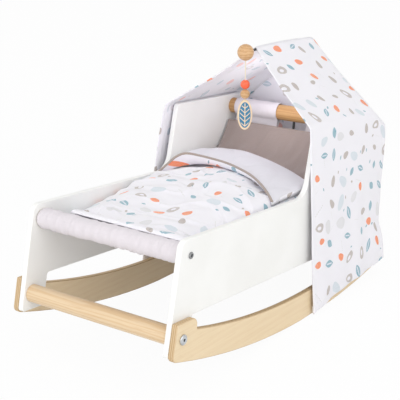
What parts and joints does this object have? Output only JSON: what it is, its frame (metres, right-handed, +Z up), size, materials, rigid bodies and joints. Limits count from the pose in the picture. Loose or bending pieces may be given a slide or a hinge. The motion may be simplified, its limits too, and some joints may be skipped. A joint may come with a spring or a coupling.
{
  "type": "doll cradle",
  "caption": "Doll cradle on curved rocking runners, with a cloth sling bed, pillow, duvet and a gabled cloth canopy on a bent rod that carries a small hanging mobile.",
  "frame": {"origin": "on the floor, under the middle of the overall box at rest", "axes": "+Z up, +Y to the canopy end, +X to the right side panel"},
  "size_m": [0.2982, 0.5704, 0.3877],
  "materials": {
    "white_paint": "satin",
    "birch_ply": "satin",
    "pine": "satin",
    "beech": "satin",
    "zinc_steel": "satin",
    "dark_steel": "satin",
    "plain_cotton": "matte",
    "printed_cotton": "matte",
    "taupe_cotton": "matte",
    "cord_cotton": "matte",
    "orange_paint": "gloss",
    "blue_paint": "satin"
  },
  "bodies": {
    "cradle": {"side_panel_left": "white_paint", "side_panel_right": "white_paint", "runner_left": "birch_ply", "runner_right": "birch_ply", "foot_stretcher": "pine", "head_stretcher": "pine", "foot_rail": "pine", "head_rail": "beech", "foot_bolt_right": "zinc_steel", "foot_bolt_left": "zinc_steel", "foot_bolt_insert_right": "zinc_steel", "foot_bolt_insert_left": "zinc_steel", "head_bolt_right": "zinc_steel", "head_bolt_left": "zinc_steel", "head_bolt_insert_right": "zinc_steel", "head_bolt_insert_left": "zinc_steel", "foot_rail_screw_right": "zinc_steel", "foot_rail_screw_left": "zinc_steel", "foot_rail_screw_insert_right": "zinc_steel", "foot_rail_screw_insert_left": "zinc_steel", "head_rail_screw_right": "zinc_steel", "head_rail_screw_left": "zinc_steel", "head_rail_screw_insert_right": "zinc_steel", "head_rail_screw_insert_left": "zinc_steel", "sling_bed": "plain_cotton", "pillow": "taupe_cotton"},
    "canopy": {"canopy_rod": "dark_steel", "rod_ball": "beech", "canopy_cloth": "printed_cotton", "canopy_rear_curtain": "printed_cotton"},
    "duvet": {"duvet": "printed_cotton"},
    "mobile": {"mobile_cord": "cord_cotton"},
    "upper_bead": {"orange_bead": "orange_paint"},
    "lower_bead": {"wood_bead": "beech"},
    "leaf": {"leaf_disc": "blue_paint"}
  },
  "joints": [
    {"name": "canopy_lift", "type": "slide", "parent": "cradle", "child": "canopy", "axis": [0, 0.0659, 0.9978], "range_m": [0, 0.045]},
    {"name": "duvet_draw", "type": "slide", "parent": "cradle", "child": "duvet", "axis": [0, -0.8, 0.6], "range_m": [0, 0.1]},
    {"name": "mobile_swing", "type": "hinge", "parent": "canopy", "child": "mobile", "pos_m": [0.00371, 0.07653, 0.36272], "axis": [1, 0, 0], "range_deg": [-30, 30]},
    {"name": "upper_bead_spin", "type": "hinge", "parent": "mobile", "child": "upper_bead", "pos_m": [0.00371, 0.07653, 0.36272], "axis": [0, 0, 1], "continuous": true},
    {"name": "lower_bead_spin", "type": "hinge", "parent": "mobile", "child": "lower_bead", "pos_m": [0.00371, 0.07653, 0.36272], "axis": [0, 0, 1], "continuous": true},
    {"name": "leaf_spin", "type": "hinge", "parent": "mobile", "child": "leaf", "pos_m": [0.00371, 0.07653, 0.36272], "axis": [0, 0, 1], "continuous": true}
  ]
}
